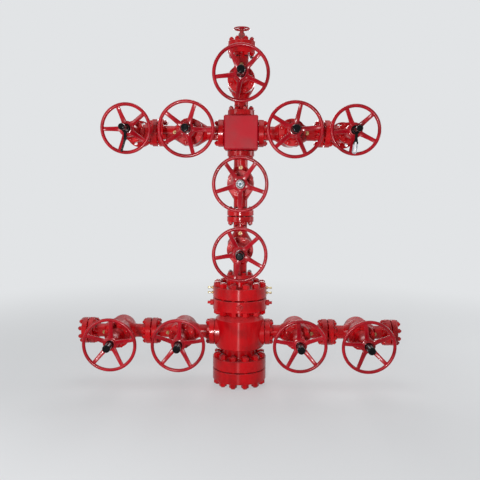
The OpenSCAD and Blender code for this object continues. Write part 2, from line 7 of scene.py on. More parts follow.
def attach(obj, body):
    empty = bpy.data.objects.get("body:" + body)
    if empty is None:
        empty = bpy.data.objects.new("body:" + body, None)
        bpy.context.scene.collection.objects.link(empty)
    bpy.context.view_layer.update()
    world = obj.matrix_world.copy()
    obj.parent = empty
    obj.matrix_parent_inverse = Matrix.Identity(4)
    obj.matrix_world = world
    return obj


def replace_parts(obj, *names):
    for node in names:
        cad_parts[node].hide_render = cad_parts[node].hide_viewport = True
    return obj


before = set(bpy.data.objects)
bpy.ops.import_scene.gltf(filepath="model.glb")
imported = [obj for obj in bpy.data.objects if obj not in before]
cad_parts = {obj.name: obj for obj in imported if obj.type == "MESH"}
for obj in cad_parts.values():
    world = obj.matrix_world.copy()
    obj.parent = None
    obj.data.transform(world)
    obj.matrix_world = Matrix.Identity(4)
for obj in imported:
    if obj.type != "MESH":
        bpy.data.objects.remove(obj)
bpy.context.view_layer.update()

mm = 0.001

# camera
cameraSetup = {
    "place": (0.035, -5.448, 1.811),
    "pitch": 0.138,  # radians below level
    "yaw": 0.0065,
    "roll": 0.0075,
    "lens": 46.5,
    "sensor": 36.0,
    "shiftY": 0.046,
    "farEnd": 60.0,
}


def makeCamera(setup):
    data = bpy.data.cameras.new("camera")
    data.lens = setup["lens"]
    data.sensor_width = setup["sensor"]
    data.shift_y = setup["shiftY"]
    data.clip_end = setup["farEnd"]
    camera = bpy.data.objects.new("camera", data)
    turn = Matrix.Rotation(setup["yaw"], 4, "Z")
    turn = turn @ Matrix.Rotation(pi / 2 - setup["pitch"], 4, "X")
    turn = turn @ Matrix.Rotation(setup["roll"], 4, "Z")
    camera.matrix_world = Matrix.Translation(Vector(setup["place"])) @ turn
    bpy.context.scene.collection.objects.link(camera)
    bpy.context.scene.camera = camera


makeCamera(cameraSetup)
print("camera: lens", cameraSetup["lens"])


# shader maths: a wrapped socket that can be added, multiplied and so on
class Wire:
    def __init__(self, recipe, socket):
        self.recipe = recipe
        self.socket = socket

    def math(self, operation, first, second):
        return self.recipe.node("ShaderNodeMath", {"operation": operation}, {0: first, 1: second})

    def __add__(self, other):
        return self.math("ADD", self, other)

    def __radd__(self, other):
        return self.math("ADD", other, self)

    def __sub__(self, other):
        return self.math("SUBTRACT", self, other)

    def __rsub__(self, other):
        return self.math("SUBTRACT", other, self)

    def __mul__(self, other):
        return self.math("MULTIPLY", self, other)

    def __rmul__(self, other):
        return self.math("MULTIPLY", other, self)

    def __pow__(self, other):
        return self.math("POWER", self, other)

    def __rpow__(self, other):
        return self.math("POWER", other, self)


# the nodes of one material, or of the world
class Recipe:
    def __init__(self, name, kind="materials"):
        self.owner = getattr(bpy.data, kind).new(name)
        self.owner.use_nodes = True
        self.tree = self.owner.node_tree
        self.tree.nodes.clear()

    def node(self, kind, settings=None, sockets=None, out=0):
        made = self.tree.nodes.new(kind)
        for name, value in (settings or {}).items():
            setattr(made, name, value)
        for name, value in (sockets or {}).items():
            if isinstance(value, Wire):
                self.tree.links.new(value.socket, made.inputs[name])
            else:
                made.inputs[name].default_value = value
        return Wire(self, made.outputs[out]) if len(made.outputs) else None

    def objectPlace(self):
        return self.node("ShaderNodeTexCoord", out="Object")

    def axis(self, vector, name):
        return self.node("ShaderNodeSeparateXYZ", None, {0: vector}, name)

    def noise(self, place, scale, detail, roughness):
        return self.node("ShaderNodeTexNoise", None, {
            "Vector": place, "Scale": scale, "Detail": detail, "Roughness": roughness}, "Fac")

    # a soft step from toLow to toHigh as the value goes from low to high
    def steps(self, value, low, high, toLow=0.0, toHigh=1.0):
        return self.node(
            "ShaderNodeMapRange", {"clamp": True, "interpolation_type": "SMOOTHSTEP"},
            {0: value, 1: low, 2: high, 3: toLow, 4: toHigh})

    # sockets 6 and 7 of a Mix node are its two colours, and output 2 is the colour that it gives
    def mix(self, factor, first, second):
        return self.node(
            "ShaderNodeMix", {"data_type": "RGBA", "clamp_factor": True},
            {0: factor, 6: first, 7: second}, 2)

    def bump(self, height, distance, strength, normal=None):
        sockets = {"Height": height, "Distance": distance, "Strength": strength}
        if normal:
            sockets["Normal"] = normal
        return self.node("ShaderNodeBump", None, sockets)

    # 0 where the surface is steep, 1 where it faces up
    def facingUp(self, low, high):
        normal = self.node("ShaderNodeTexCoord", out="Normal")
        return self.steps(self.axis(normal, "Z"), low, high)

    def finish(self, sockets):
        shader = self.node("ShaderNodeBsdfPrincipled", None, sockets)
        self.node("ShaderNodeOutputMaterial", None, {"Surface": shader})
        return self.owner


# a colour written as 0 to 255, in linear light
def rgb(red, green, blue):
    def level(value):
        share = value / 255
        return share / 12.92 if share <= 0.04045 else ((share + 0.055) / 1.055) ** 2.4
    return (level(red), level(green), level(blue), 1.0)


# red enamel sprayed over cast and turned steel; a noise is its scale, detail and roughness, and a
# spread is the range of it in which one look passes into the other
enamel = {
    "paint": (rgb(184, 4, 14), rgb(152, 3, 10)),  # full and thin
    # the cross block: a duller, bluer copy of the same red enamel, a painted haze of light over the
    # upper stack
    "blockPaintedHaze": (rgb(176, 12, 32), rgb(158, 8, 26)),
    # the handwheels: a darker, bluer copy of the same red enamel, a painted shade and haze of light
    "wheel": (rgb(158, 10, 26), rgb(132, 5, 18)),
    "cloudNoise": (5.5, 3.0, 0.6),  # where more or less was sprayed
    "fullSpread": (0.32, 0.62),
    "sheenSpread": (0.3, 0.7),
    "castNoise": (26.0, 3.0, 0.55),  # the casting's skin
    "castDepth": 0.00045,
    "castStrength": 1.0,
    "thinSpread": (0.60, 0.80),
    "thinShare": 0.35,
    "peelNoise": (210.0, 1.0, 0.4),  # orange peel
    "peelDepth": 0.00018,
    "peelStrength": 0.8,
    # pale pink for faces that turn up: partly dust, partly a painted sheen of light on the tops
    "dustAndSheen": rgb(206, 120, 122),
    "dustNoise": (95.0, 4.0, 0.7),
    "dustSpread": (0.44, 0.66),
    "dustEven": 0.5,
    "dustSpecks": 0.5,
    "dustDulls": 0.45,
    "levelSpread": (0.45, 0.95),
    "roundEdge": 0.0035,
    "edgeSamples": 4,
    "gloss": 1.27,
    "coatRoughness": 0.05,
    "streakTurn": 0.25,  # draws a highlight out along the stack
}


def redEnamel(name, castShare, rough, dustAndSheenShare=0.30, shade="paint", edge=True, coat=0.06,
              streak=0.0, gloss=enamel["gloss"], matteTop=0.0):
    recipe = Recipe(name)
    place = recipe.objectPlace()
    cast = recipe.noise(place, *enamel["castNoise"])
    peel = recipe.noise(place, *enamel["peelNoise"])
    cloud = recipe.noise(place, *enamel["cloudNoise"])
    full, thin = enamel[shade]
    colour = recipe.mix(recipe.steps(cloud, *enamel["fullSpread"]), thin, full)
    thinned = recipe.steps(cast, *enamel["thinSpread"]) * enamel["thinShare"]
    colour = recipe.mix(thinned, colour, thin)
    specks = recipe.steps(recipe.noise(place, *enamel["dustNoise"]), *enamel["dustSpread"])
    # faces that turn up are painted pale pink, partly as dust and partly as a painted sheen of
    # light on their tops
    level = recipe.facingUp(*enamel["levelSpread"])
    dustAndSheen = level * (enamel["dustEven"] + enamel["dustSpecks"] * specks) * dustAndSheenShare
    colour = recipe.mix(dustAndSheen, colour, enamel["dustAndSheen"])
    sheen = recipe.steps(cloud, *enamel["sheenSpread"], *rough)
    sheen = sheen + dustAndSheen * enamel["dustDulls"] + level * matteTop
    normal = None
    if edge:
        normal = recipe.node(
            "ShaderNodeBevel", {"samples": enamel["edgeSamples"]}, {"Radius": enamel["roundEdge"]})
    normal = recipe.bump(cast, enamel["castDepth"] * castShare, enamel["castStrength"], normal)
    normal = recipe.bump(peel, enamel["peelDepth"], enamel["peelStrength"], normal)
    return recipe.finish({
        "Base Color": colour, "Roughness": sheen, "Normal": normal, "IOR": gloss,
        "Anisotropic": streak, "Anisotropic Rotation": enamel["streakTurn"],
        "Coat Weight": coat, "Coat Roughness": enamel["coatRoughness"]})


# how the painted surfaces differ; rough is the lowest and the highest roughness
paints = {
    "castPaint": {"castShare": 1.0, "rough": (0.14, 0.26), "dustAndSheenShare": 0.38, "matteTop": 0.3},
    "turnedPaint": {"castShare": 0.25, "rough": (0.3, 0.42), "coat": 0.0},
    "uprightPaint": {
        "castShare": 0.2, "rough": (0.2, 0.26), "coat": 0.04, "streak": 0.9, "gloss": 1.3},
    "levelPaint": {"castShare": 0.2, "rough": (0.10, 0.2), "coat": 0.08},
    "blockPaint": {
        "castShare": 0.8, "rough": (0.42, 0.55), "dustAndSheenShare": 0.35, "shade": "blockPaintedHaze", "coat": 0.0},
    "wheelPaint": {"castShare": 0.45, "rough": (0.16, 0.28), "shade": "wheel", "edge": False},
    "nutPaint": {"castShare": 0.3, "rough": (0.12, 0.24), "edge": False},
}
finishes = {name: redEnamel(name, **values) for name, values in paints.items()}

# small turned pieces
metals = {
    "tan": rgb(196, 160, 106),
    "tanDark": rgb(128, 92, 52),
    "pale": rgb(226, 216, 176),
    "paleDull": rgb(182, 168, 122),
    "black": rgb(8, 8, 9),
    "blackWorn": rgb(13, 13, 15),
    "zinc": rgb(202, 206, 212),
    "zincDark": rgb(126, 130, 138),
    "oiled": rgb(44, 34, 34),
    "oiledRed": rgb(104, 20, 24),
    "rust": rgb(118, 42, 34),
    "brick": rgb(160, 30, 34),
}
scuffs = {
    "cloud": (4.0, 0.65),  # detail and roughness
    "fine": (2.0, 0.6),
    "finer": 5,
    "colourSpread": (0.38, 0.64),
    "cloudShare": 0.7,
    "fineShare": 0.3,
    "sheenSpread": (0.3, 0.7),
    "strength": 0.7,
}


def scuffedMetal(name, colours, metallic, rough, scale=120.0, depth=0.0002, gloss=1.45):
    recipe = Recipe(name)
    place = recipe.objectPlace()
    cloud = recipe.noise(place, scale, *scuffs["cloud"])
    fine = recipe.noise(place, scale * scuffs["finer"], *scuffs["fine"])
    share = recipe.steps(cloud, *scuffs["colourSpread"])
    worn = cloud * scuffs["cloudShare"] + fine * scuffs["fineShare"]
    return recipe.finish({
        "Base Color": recipe.mix(share, metals[colours[0]], metals[colours[1]]),
        "Metallic": metallic,
        "IOR": gloss,
        "Roughness": recipe.steps(worn, *scuffs["sheenSpread"], *rough),
        "Normal": recipe.bump(fine, depth, scuffs["strength"])})


scuffed = {
    "tanFitting": {"colours": ("tan", "tanDark"), "metallic": 0.2, "rough": (0.28, 0.5)},
    "paleCap": {"colours": ("pale", "paleDull"), "metallic": 0.5, "rough": (0.14, 0.3)},
    # dark oiled steel for stud ends, darker in part as a painted shade where the flanges shadow
    # them
    "oiledStud": {"colours": ("oiled", "oiledRed"), "metallic": 0.4, "rough": (0.3, 0.55)},
    "blackGloss": {
        "colours": ("black", "blackWorn"), "metallic": 0.0, "rough": (0.08, 0.2),
        "scale": 60.0, "depth": 0.00004, "gloss": 1.18},
    "brownPaint": {
        "colours": ("rust", "brick"), "metallic": 0.0, "rough": (0.28, 0.5),
        "scale": 60.0, "depth": 0.0004},
}
for name, values in scuffed.items():
    finishes[name] = scuffedMetal(name, **values)

# the open cap: black outside and at its lip, a bright ring round the bluish end of the stem inside;
# an edge is the radii, in metres, between which one passes into the other
openCap = {
    "height": 1746.9 * mm,
    "ringInner": (0.0115, 0.013),
    "ringOuter": (0.0205, 0.0213),
    "stemEdge": (0.0125, 0.0135),
    "blue": rgb(104, 124, 134),
    "noise": (180.0, 4.0, 0.7),
    "ringSpread": (0.4, 0.6),
    "stemSpread": (0.35, 0.65),
    "ringMetal": 0.5,
    "stemMetal": 0.4,
    "sheenSpread": (0.3, 0.7),
    "rough": (0.15, 0.32),
    "insideDulls": 0.3,
    "gloss": 1.3,
    "depth": 0.0004,
    "strength": 0.6,
}


def capMaterial(name, look):
    recipe = Recipe(name)
    place = recipe.objectPlace()
    across = recipe.axis(place, "X")
    up = recipe.axis(place, "Z") - look["height"]
    radius = (across * across + up * up) ** 0.5
    worn = recipe.noise(place, *look["noise"])
    ring = recipe.steps(radius, *look["ringInner"])
    ring = ring * recipe.steps(radius, *look["ringOuter"], 1.0, 0.0)
    stem = recipe.steps(radius, *look["stemEdge"], 1.0, 0.0)
    bright = recipe.mix(
        recipe.steps(worn, *look["ringSpread"]), metals["zinc"], metals["zincDark"])
    blue = recipe.mix(
        recipe.steps(worn, *look["stemSpread"]), look["blue"], metals["blackWorn"])
    colour = recipe.mix(ring, metals["black"], bright)
    colour = recipe.mix(stem, colour, blue)
    sheen = recipe.steps(worn, *look["sheenSpread"], *look["rough"])
    return recipe.finish({
        "Base Color": colour,
        "Metallic": ring * look["ringMetal"] + stem * look["stemMetal"],
        "IOR": look["gloss"],
        "Roughness": sheen + (ring + stem) * look["insideDulls"],
        "Normal": recipe.bump(worn, look["depth"], look["strength"])})


# levers: the left one black all over, the right one black above its middle and, below it, a bright
# metal colour that is a painted reflection of the bright surroundings
levers = {
    "middle": (2058.0 * mm, 2070.0 * mm),  # heights between which black passes into the painted reflection
    "sides": (-0.01, 0.01),
    "noise": (70.0, 4.0, 0.6),
    "colourSpread": (0.4, 0.65),
    "reflectionMetallic": 0.8,
    "sheenSpread": (0.3, 0.7),
    "rough": (0.12, 0.28),
    "gloss": 1.2,
    "depth": 0.00005,
    "strength": 0.5,
}


def leverMaterial(name, look):
    recipe = Recipe(name)
    place = recipe.objectPlace()
    right = recipe.steps(recipe.axis(place, "X"), *look["sides"])
    low = recipe.steps(recipe.axis(place, "Z"), *look["middle"], 1.0, 0.0)
    # the right lever's lower half gets a painted reflection: bright zinc colour, made metallic
    bright = right * low
    worn = recipe.noise(place, *look["noise"])
    share = recipe.steps(worn, *look["colourSpread"])
    dark = recipe.mix(share, metals["black"], metals["blackWorn"])
    light = recipe.mix(share, metals["zinc"], metals["zincDark"])
    return recipe.finish({
        "Base Color": recipe.mix(bright, dark, light),
        "Metallic": bright * look["reflectionMetallic"],
        "IOR": look["gloss"],
        "Roughness": recipe.steps(worn, *look["sheenSpread"], *look["rough"]),
        "Normal": recipe.bump(worn, look["depth"], look["strength"])})


finishes["stemCap"] = capMaterial("stemCap", openCap)
finishes["leverMetal"] = leverMaterial("leverMetal", levers)
print("finishes:", len(finishes))

valveNames = [
    "lower_master", "upper_master", "swab", "left_wing", "right_wing", "left_inner_casing",
    "left_outer_casing", "right_inner_casing", "right_outer_casing"]
chokeNames = ["left_choke", "right_choke"]

# which finish each carried-over node has
nodeFinish = {
    "castPaint": [name + "_body" for name in valveNames + chokeNames],
    "turnedPaint": ["lockdown_screws"] + [name + "_bonnet" for name in valveNames + chokeNames],
    "blockPaint": ["cross_block"],
    "uprightPaint": ["tubing_spool", "base_flange", "adapter", "tree_cap"],
    "levelPaint": ["end_flanges"],
    "tanFitting": ["test_fittings", "grease_fittings"],
    "blackGloss": ["stem_caps"],
    "stemCap": ["clear_cap"],
    "leverMetal": ["choke_levers"],
    "brownPaint": ["needle_valve"],
}


def dress(nodesByFinish):
    count = 0
    for finish, names in nodesByFinish.items():
        for name in names:
            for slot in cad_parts[name].material_slots:
                slot.material = finishes[finish]
            count += 1
    return count


print("finishes on", dress(nodeFinish), "nodes")

# lengths along the runs, heights of their axes, and the joints' sizes, in millimetres
runs = {
    "valve": 565.0, "cross": 145.0, "choke": 190.0, "outlet": 220.0,
    "runHeight": 425.7, "lowerMaster": 1181.9, "upperMaster": 1746.9, "crossHeight": 2174.4,
    "swab": 2601.9, "cap": 2884.4,
    "flange": 51.2, "boltCircle": 184.2, "bonnetFace": 183.0, "chokeFace": 150.0,
}


# the centre of each valve and choke, and which way its run goes
def runPlaces(sizes):
    half = sizes["valve"] / 2
    wing = sizes["cross"] + half
    inner = sizes["outlet"] + half
    outer = inner + sizes["valve"]
    choke = wing + half + sizes["choke"]
    up = sizes["crossHeight"]
    low = sizes["runHeight"]
    return {
        "lower_master": ((0, 0, sizes["lowerMaster"]), "z"),
        "upper_master": ((0, 0, sizes["upperMaster"]), "z"),
        "swab": ((0, 0, sizes["swab"]), "z"),
        "left_wing": ((-wing, 0, up), "x"),
        "right_wing": ((wing, 0, up), "x"),
        "left_inner_casing": ((-inner, 0, low), "x"),
        "left_outer_casing": ((-outer, 0, low), "x"),
        "right_inner_casing": ((inner, 0, low), "x"),
        "right_outer_casing": ((outer, 0, low), "x"),
        "left_choke": ((-choke, 0, up), "choke"),
        "right_choke": ((choke, 0, up), "choke"),
    }


places = runPlaces(runs)


def link(mesh, name):
    made = bpy.data.objects.new(name, mesh)
    bpy.context.scene.collection.objects.link(made)
    return made


def smoothByAngle(mesh, degrees):
    shape = bmesh.new()
    shape.from_mesh(mesh)
    for face in shape.faces:
        face.smooth = True
    for edge in shape.edges:
        edge.smooth = len(edge.link_faces) == 2 and edge.calc_face_angle() < radians(degrees)
    shape.to_mesh(mesh)
    shape.free()


# turns an outline of (radius, height) about Z, open from axis to axis or closed round a bore
def addTurned(shape, outline, segments):
    rings = []
    for radius, height in outline:
        if radius == 0:
            rings.append([shape.verts.new((0, 0, height))])
            continue
        angles = [2 * pi * i / segments for i in range(segments)]
        rings.append([shape.verts.new((radius * cos(angle), radius * sin(angle), height))
                      for angle in angles])
    faces = []
    pairs = list(zip(rings, rings[1:]))
    if outline[0][0] != 0:
        pairs.append((rings[-1], rings[0]))
    for low, high in pairs:
        for i in range(segments):
            j = (i + 1) % segments
            ring = [low[i % len(low)], low[j % len(low)],
                    high[j % len(high)], high[i % len(high)]]
            ring = [v for k, v in enumerate(ring) if v not in ring[:k]]
            faces.append(shape.faces.new(ring))
    return faces


def finishShape(shape, name, degrees=35):
    bmesh.ops.recalc_face_normals(shape, faces=shape.faces)
    mesh = bpy.data.meshes.new(name)
    shape.to_mesh(mesh)
    shape.free()
    smoothByAngle(mesh, degrees)
    return mesh


# an empty geometry tree with named inputs, the calls that add and join its nodes, and its inputs
def newTree(name, inputs):
    tree = bpy.data.node_groups.new(name, "GeometryNodeTree")
    for label, kind in (("Geometry", "Geometry"),) + inputs:
        tree.interface.new_socket(label, in_out="INPUT", socket_type="NodeSocket" + kind)
    tree.interface.new_socket("Geometry", in_out="OUTPUT", socket_type="NodeSocketGeometry")
    node = tree.nodes.new
    return tree, node, tree.links.new, node("NodeGroupInput").outputs


def socketId(tree, name):
    return next(item.identifier for item in tree.interface.items_tree
                if item.item_type == "SOCKET" and item.in_out == "INPUT" and item.name == name)


# runs a tree over a mesh with the values given and keeps the result as a plain mesh
def grown(start, tree, values, name):
    carrier = link(start, name)
    modifier = carrier.modifiers.new("nodes", "NODES")
    modifier.node_group = tree
    for key, value in values.items():
        modifier[socketId(tree, key)] = value
    graph = bpy.context.evaluated_depsgraph_get()
    mesh = bpy.data.meshes.new_from_object(carrier.evaluated_get(graph), depsgraph=graph)
    carrier.modifiers.remove(modifier)
    carrier.data = mesh
    mesh.name = name
    return carrier


# a bolt's outline: overlaps and pitch in millimetres, the rest as shares of its own sizes
boltForm = {
    "nutSides": 6, "nutSunk": 0.4, "nutCorner": 0.985, "bevelFrom": 0.88, "bevelTop": 0.47,
    "studSides": 12, "studSunk": 0.5, "pitch": 2.6, "fewestTurns": 2,
    "crest": 0.5, "crestEnd": 0.2, "root": 0.455, "rootAt": 0.7, "endFrom": 0.93, "end": 0.42,
    "smooth": 40,
}


# a hexagon nut on a threaded stud; z = 0 is the joint's face, the nut stands on the flange's back
def boltMesh(name, sizes):
    stud, tip, gap = sizes["stud"], sizes["tip"], sizes["gap"]
    corner = sizes["across"] / 2 / cos(radians(30)) * boltForm["nutCorner"]
    foot = sizes["back"] - boltForm["nutSunk"]
    top = sizes["back"] + sizes["nut"]
    nutLine = [
        (0, foot), (corner, foot),
        (corner, sizes["back"] + sizes["nut"] * boltForm["bevelFrom"]),
        (sizes["across"] * boltForm["bevelTop"], top), (0, top)]
    crest = stud * boltForm["crest"]
    low = top - boltForm["studSunk"]
    studLine = [(0, low), (crest, low)]
    turns = max(boltForm["fewestTurns"], int(tip / boltForm["pitch"]))
    for i in range(turns):
        turn = top + tip * i / turns
        studLine += [(crest, turn + tip / turns * boltForm["crestEnd"]),
                     (stud * boltForm["root"], turn + tip / turns * boltForm["rootAt"])]
    studLine += [(crest, top + tip * boltForm["endFrom"]),
                 (stud * boltForm["end"], top + tip), (0, top + tip)]
    shape = bmesh.new()
    studFaces = []
    for way in (1, -1) if sizes["bothWays"] else (1,):
        addTurned(shape, [(r, way * z) for r, z in nutLine], boltForm["nutSides"])
        studFaces += addTurned(shape, [(r, way * z) for r, z in studLine], boltForm["studSides"])
    start = -gap if sizes["bothWays"] else -boltForm["studSunk"]
    studFaces += addTurned(
        shape, [(0, start), (crest, start), (crest, gap), (0, gap)], boltForm["studSides"])
    shape.faces.index_update()
    marked = {face.index for face in studFaces}
    mesh = finishShape(shape, name, boltForm["smooth"])
    mark = mesh.attributes.new("studEnd", "BOOLEAN", "FACE")
    mark.data.foreach_set("value", [i in marked for i in range(len(mesh.polygons))])
    mesh.transform(Matrix.Scale(mm, 4))
    return mesh


# sets bolts in rings: its points are the joints' centres, and "turn" says how each ring lies
def boltTree():
    tree, node, join, given = newTree("boltRings", (
        ("Bolt", "Object"), ("Count", "Int"), ("Circle radius", "Float"), ("First angle", "Float"),
        ("Seed", "Int"), ("Nut finish", "Material"), ("Stud finish", "Material")))
    circle = node("GeometryNodeMeshCircle")
    join(given["Count"], circle.inputs["Vertices"])
    join(given["Circle radius"], circle.inputs["Radius"])
    angle = node("ShaderNodeCombineXYZ")
    join(given["First angle"], angle.inputs["Z"])
    start = node("GeometryNodeTransform")
    join(circle.outputs["Mesh"], start.inputs["Geometry"])
    join(angle.outputs[0], start.inputs["Rotation"])
    turn = node("GeometryNodeInputNamedAttribute")
    turn.data_type = "FLOAT_VECTOR"
    turn.inputs["Name"].default_value = "turn"
    rings = node("GeometryNodeInstanceOnPoints")
    join(given["Geometry"], rings.inputs["Points"])
    join(start.outputs[0], rings.inputs["Instance"])
    join(turn.outputs[0], rings.inputs["Rotation"])
    holes = node("GeometryNodeRealizeInstances")
    join(rings.outputs[0], holes.inputs[0])

    # a bolt in each hole, every nut turned its own way
    bolt = node("GeometryNodeObjectInfo")
    join(given["Bolt"], bolt.inputs["Object"])
    bolts = node("GeometryNodeInstanceOnPoints")
    join(holes.outputs[0], bolts.inputs["Points"])
    join(bolt.outputs["Geometry"], bolts.inputs["Instance"])
    join(turn.outputs[0], bolts.inputs["Rotation"])
    spin = node("FunctionNodeRandomValue")
    spin.data_type = "FLOAT"
    spin.inputs["Min"].default_value = 0.0
    spin.inputs[3].default_value = 2 * pi  # the highest value
    join(given["Seed"], spin.inputs["Seed"])
    spinZ = node("ShaderNodeCombineXYZ")
    join(spin.outputs[1], spinZ.inputs["Z"])
    turned = node("GeometryNodeRotateInstances")
    join(bolts.outputs[0], turned.inputs["Instances"])
    join(spinZ.outputs[0], turned.inputs["Rotation"])
    real = node("GeometryNodeRealizeInstances")
    join(turned.outputs[0], real.inputs[0])

    # nuts and stud ends have finishes of their own
    nuts = node("GeometryNodeSetMaterial")
    join(real.outputs[0], nuts.inputs["Geometry"])
    join(given["Nut finish"], nuts.inputs["Material"])
    ends = node("GeometryNodeInputNamedAttribute")
    ends.data_type = "BOOLEAN"
    ends.inputs["Name"].default_value = "studEnd"
    studs = node("GeometryNodeSetMaterial")
    join(nuts.outputs[0], studs.inputs["Geometry"])
    join(ends.outputs[0], studs.inputs["Selection"])
    join(given["Stud finish"], studs.inputs["Material"])
    join(studs.outputs[0], node("NodeGroupOutput").inputs[0])
    return tree


boltRings = boltTree()


# one point for each joint, at its centre, with the turn that its ring of bolts takes
def pointMesh(joints):
    mesh = bpy.data.meshes.new("joints")
    mesh.from_pydata([Vector(place) * mm for place, away in joints], [], [])
    turn = mesh.attributes.new("turn", "FLOAT_VECTOR", "POINT")
    for i, (place, away) in enumerate(joints):
        turn.data[i].vector = Vector(away).to_track_quat("Z", "Y").to_euler()
    return mesh


def boltPiece(name, joints, sizes, seed, studFinish="nutPaint"):
    bolt = link(boltMesh(name + "_one", sizes), name + "_one")
    piece = grown(pointMesh(joints), boltRings, {
        "Bolt": bolt, "Count": sizes["count"], "Circle radius": sizes["circle"] / 2 * mm,
        "First angle": pi / sizes["count"], "Seed": seed,
        "Nut finish": finishes["nutPaint"], "Stud finish": finishes[studFinish]}, name)
    bpy.data.objects.remove(bolt)
    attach(piece, "root")
    return piece


# both ends of each valve, but not the runs' ends, which have stud bolts of their own
def runJoints(names):
    found = []
    half = runs["valve"] / 2
    for name in names:
        place, way = places[name]
        side = Vector((1, 0, 0)) if way == "x" else Vector((0, 0, 1))
        for sign in (-1, 1):
            runEnd = "outer" in name and sign * place[0] > 0
            if not runEnd:
                found.append((Vector(place) + side * half * sign, -side * sign))
    return found


# the faces in front that nuts stand on
def frontFaces(names, distance):
    return [(Vector(places[name][0]) - Vector((0, distance, 0)), Vector((0, -1, 0)))
            for name in names]


# bolts of the run flanges, one for each joint face whose flange has a back
runBolt = {
    "across": 36.5, "nut": 22.0, "stud": 22.2, "tip": 8.0, "gap": 8.0, "back": runs["flange"],
    "bothWays": False, "count": 8, "circle": runs["boltCircle"],
}
levelValves = [name for name in valveNames if places[name][1] == "x"]
uprightValves = [name for name in valveNames if places[name][1] == "z"]
chokeJoints = [
    (Vector(places[name][0]) - Vector((side * runs["choke"], 0, 0)), Vector((side, 0, 0)))
    for name, side in (("left_choke", -1), ("right_choke", 1))]
capJoint = [(Vector((0, 0, runs["cap"])), Vector((0, 0, 1)))]
boltPiece("run_bolts", runJoints(levelValves) + chokeJoints + capJoint, runBolt, 3)
# the stack's stud ends take the dark oiled finish, partly a painted shade
boltPiece("stack_bolts", runJoints(uprightValves), runBolt, 5, "oiledStud")

# stud bolts through the end flanges, a nut at each end
endBolt = dict(runBolt, bothWays=True)
endX = runs["outlet"] + 2 * runs["valve"]
endJoints = [(Vector((side * endX, 0, runs["runHeight"])), Vector((side, 0, 0)))
             for side in (-1, 1)]
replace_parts(boltPiece("end_studs_threaded", endJoints, endBolt, 9), "end_studs")

# nuts on the bonnets
bonnetBolt = {
    "across": 36.5, "nut": 22.0, "stud": 22.2, "tip": 9.0, "gap": 0.4, "back": 0.0,
    "bothWays": False, "count": 8, "circle": 186.0,
}
boltPiece("bonnet_nuts", frontFaces(valveNames, runs["bonnetFace"]), bonnetBolt, 7)

chokeBolt = {
    "across": 27.0, "nut": 16.0, "stud": 16.0, "tip": 6.0, "gap": 0.4, "back": 0.0,
    "bothWays": False, "count": 8, "circle": 142.0,
}
boltPiece("choke_nuts", frontFaces(chokeNames, runs["chokeFace"]), chokeBolt, 11)

# the long stud bolts of the two head joints
headBolt = {
    "across": 60.3, "nut": 38.0, "stud": 38.1, "tip": 8.0, "gap": 9.0, "back": 103.2,
    "bothWays": True, "count": 12, "circle": 403.2,
    "joints": (("base_studs", 103.2, 13), ("adapter_studs", 742.2, 17)),  # name, height, seed
}
for name, height, seed in headBolt["joints"]:
    joint = [(Vector((0, 0, height)), Vector((0, 0, 1)))]
    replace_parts(boltPiece(name + "_threaded", joint, headBolt, seed), name)
print("bolting made")

# test fittings on the adapter's rim: a hexagon foot, a thin neck and a wide pale cap
fitting = {
    "across": 22.0, "foot": 12.0, "footBevel": 2.0, "footTop": 0.46, "footSides": 6, "sunk": 2.0,
    "neck": 11.0, "neckLength": 12.0, "neckSides": 20, "overlap": 1.0,
    "cap": 21.0, "capLength": 22.0, "capSides": 24,
    # how far in from the cap's side, and how far above its foot or below its top
    "capLow": ((1.5, 0), (0, 1.5), (0, 7), (1, 8), (1, 9.5), (0, 10.5)),
    "capHigh": ((0, 4), (1.4, 1.4), (5, 0)),
    "rim": 239.5, "heights": (825.4, 780.4),
}


def fittingPiece(sizes):
    across, foot, sunk, overlap = (sizes[key] for key in ("across", "foot", "sunk", "overlap"))
    corner = across / 2 / cos(radians(30))
    neck = sizes["neck"] / 2
    cap = sizes["cap"] / 2
    top = foot + sizes["neckLength"]
    end = top + sizes["capLength"]
    footLine = [(0, -sunk), (corner, -sunk), (corner, foot - sizes["footBevel"]),
                (across * sizes["footTop"], foot), (0, foot)]
    neckLine = [(0, foot - overlap), (neck, foot - overlap), (neck, top + overlap),
                (0, top + overlap)]
    capLine = [(0, top)] + [(cap - inset, top + up) for inset, up in sizes["capLow"]]
    capLine += [(cap - inset, end - down) for inset, down in sizes["capHigh"]] + [(0, end)]
    shape = bmesh.new()
    for side in (-1, 1):
        for height in sizes["heights"]:
            before = set(shape.verts)
            brass = addTurned(shape, footLine, sizes["footSides"])
            brass += addTurned(shape, neckLine, sizes["neckSides"])
            addTurned(shape, capLine, sizes["capSides"])
            for face in brass:
                face.material_index = 1
            turn = Matrix.Rotation(side * pi / 2, 4, "Y")
            move = Matrix.Translation(Vector((side * sizes["rim"], 0, height)))
            bmesh.ops.transform(shape, matrix=Matrix.Scale(mm, 4) @ move @ turn,
                                verts=[v for v in shape.verts if v not in before])
    piece = link(finishShape(shape, "test_fittings_capped"), "test_fittings_capped")
    piece.data.materials.append(finishes["paleCap"])
    piece.data.materials.append(finishes["tanFitting"])
    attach(piece, "root")
    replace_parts(piece, "test_fittings")


fittingPiece(fitting)
print("test fittings made")

# a handwheel's fineness, the spokes' rounded corners, and how fast a spoke narrows from its root
wheelForm = {
    "rimSteps": 96, "rimSides": 18, "spokeSteps": 18, "cornerSteps": 3, "cornerShare": 0.42,
    "narrowing": 2.5, "smooth": 50,
}


